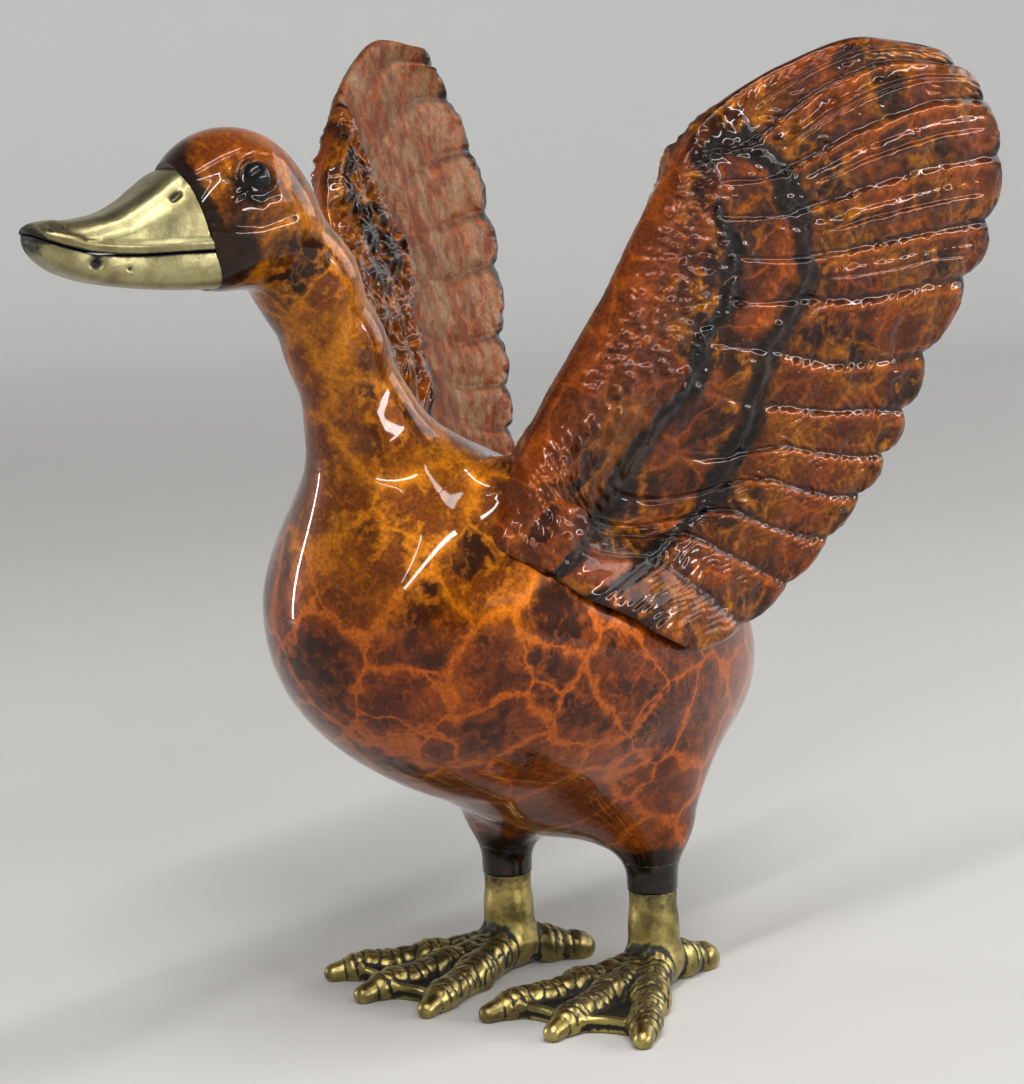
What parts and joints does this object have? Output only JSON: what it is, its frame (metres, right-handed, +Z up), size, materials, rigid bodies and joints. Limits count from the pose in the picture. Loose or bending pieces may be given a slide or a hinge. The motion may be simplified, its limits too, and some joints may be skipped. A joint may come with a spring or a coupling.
{
  "type": "duck figurine",
  "caption": "Standing duck figurine in patinated cast bronze, wings raised and spread, head turned, with a polished bill and webbed feet that it stands on.",
  "frame": {"origin": "on the surface that the duck stands on, under the middle of its box", "axes": "+Z up, the duck faces -Y, its left side is +X"},
  "size_m": [0.1533, 0.1907, 0.2008],
  "materials": {
    "hot_patina": "marbled amber and brown hot patina under gloss lacquer",
    "wing_patina": "darker marbled hot patina with black bands under gloss lacquer",
    "dark_patina": "brown black patina under gloss lacquer",
    "bill_brass": "polished pale bronze with dark creases",
    "foot_brass": "polished yellow bronze with dark creases",
    "eye_black": "black patina under thick gloss lacquer",
    "raw_bronze": "raw casting",
    "rod_steel": "plain ground rod"
  },
  "bodies": {
    "root": {"torso": "hot_patina", "neck_and_head": "hot_patina", "left_wing": "wing_patina", "right_wing": "wing_patina", "tail": "wing_patina", "upper_bill": "bill_brass", "lower_bill": "bill_brass", "left_eye": "eye_black", "right_eye": "eye_black", "left_leg": "dark_patina", "right_leg": "dark_patina", "left_foot": "foot_brass", "right_foot": "foot_brass", "neck_sleeve": "raw_bronze", "left_wing_dowel_front": "rod_steel", "left_wing_dowel_rear": "rod_steel", "right_wing_dowel_front": "rod_steel", "right_wing_dowel_rear": "rod_steel", "tail_dowel": "rod_steel", "left_leg_rod": "rod_steel", "right_leg_rod": "rod_steel"}
  },
  "joints": []
}
